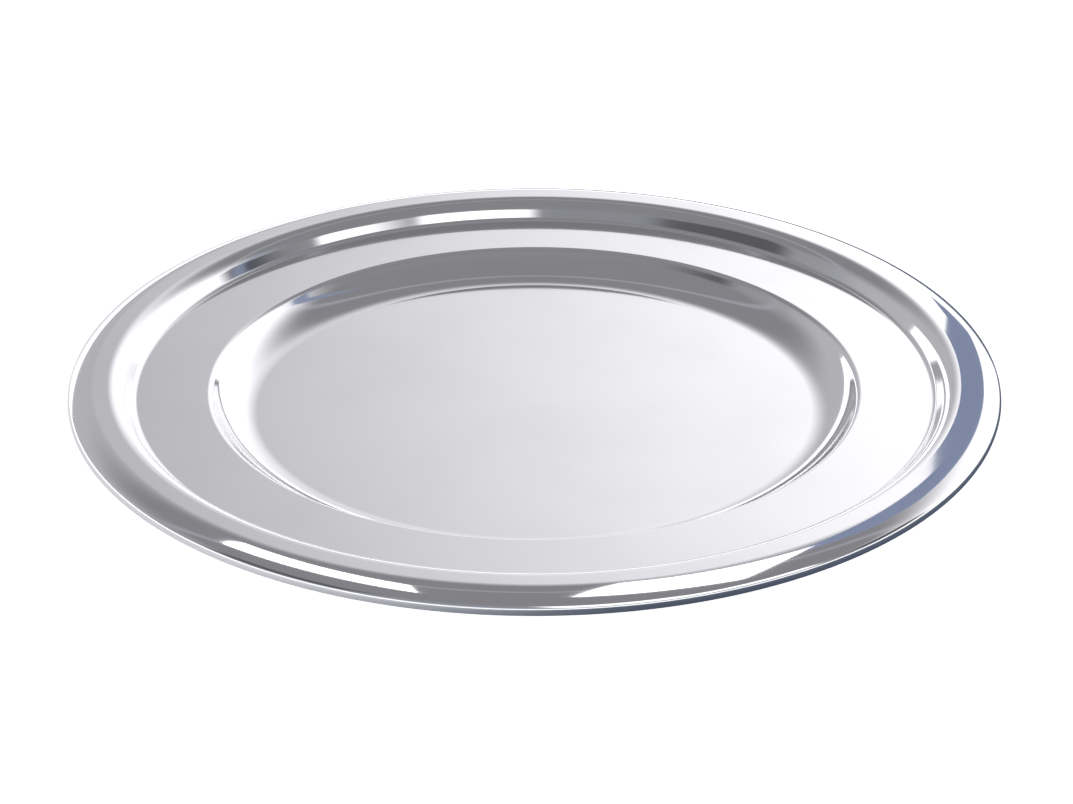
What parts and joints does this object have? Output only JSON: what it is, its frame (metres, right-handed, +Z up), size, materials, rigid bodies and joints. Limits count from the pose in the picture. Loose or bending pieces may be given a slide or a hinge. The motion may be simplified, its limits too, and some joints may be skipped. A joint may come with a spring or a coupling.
{
  "type": "serving tray",
  "caption": "Round steel serving tray with a shallow central well, a wide flat flange, a raised rim and a rounded edge curled over a stiffening wire.",
  "frame": {"origin": "centre of the tray's underside, on the surface that it stands on", "axes": "+Z up along the tray's axis of revolution, through the open side of the well; X and Y lie in the plane that it stands on"},
  "size_m": [0.35, 0.35, 0.0176],
  "materials": {
    "polished_steel": "polished stainless steel, a soft mirror with very fine brushing on the flat faces",
    "drawn_wire": "plain drawn steel wire"
  },
  "bodies": {
    "root": {"tray_pressing": "polished_steel", "rim_wire": "drawn_wire"}
  },
  "joints": []
}
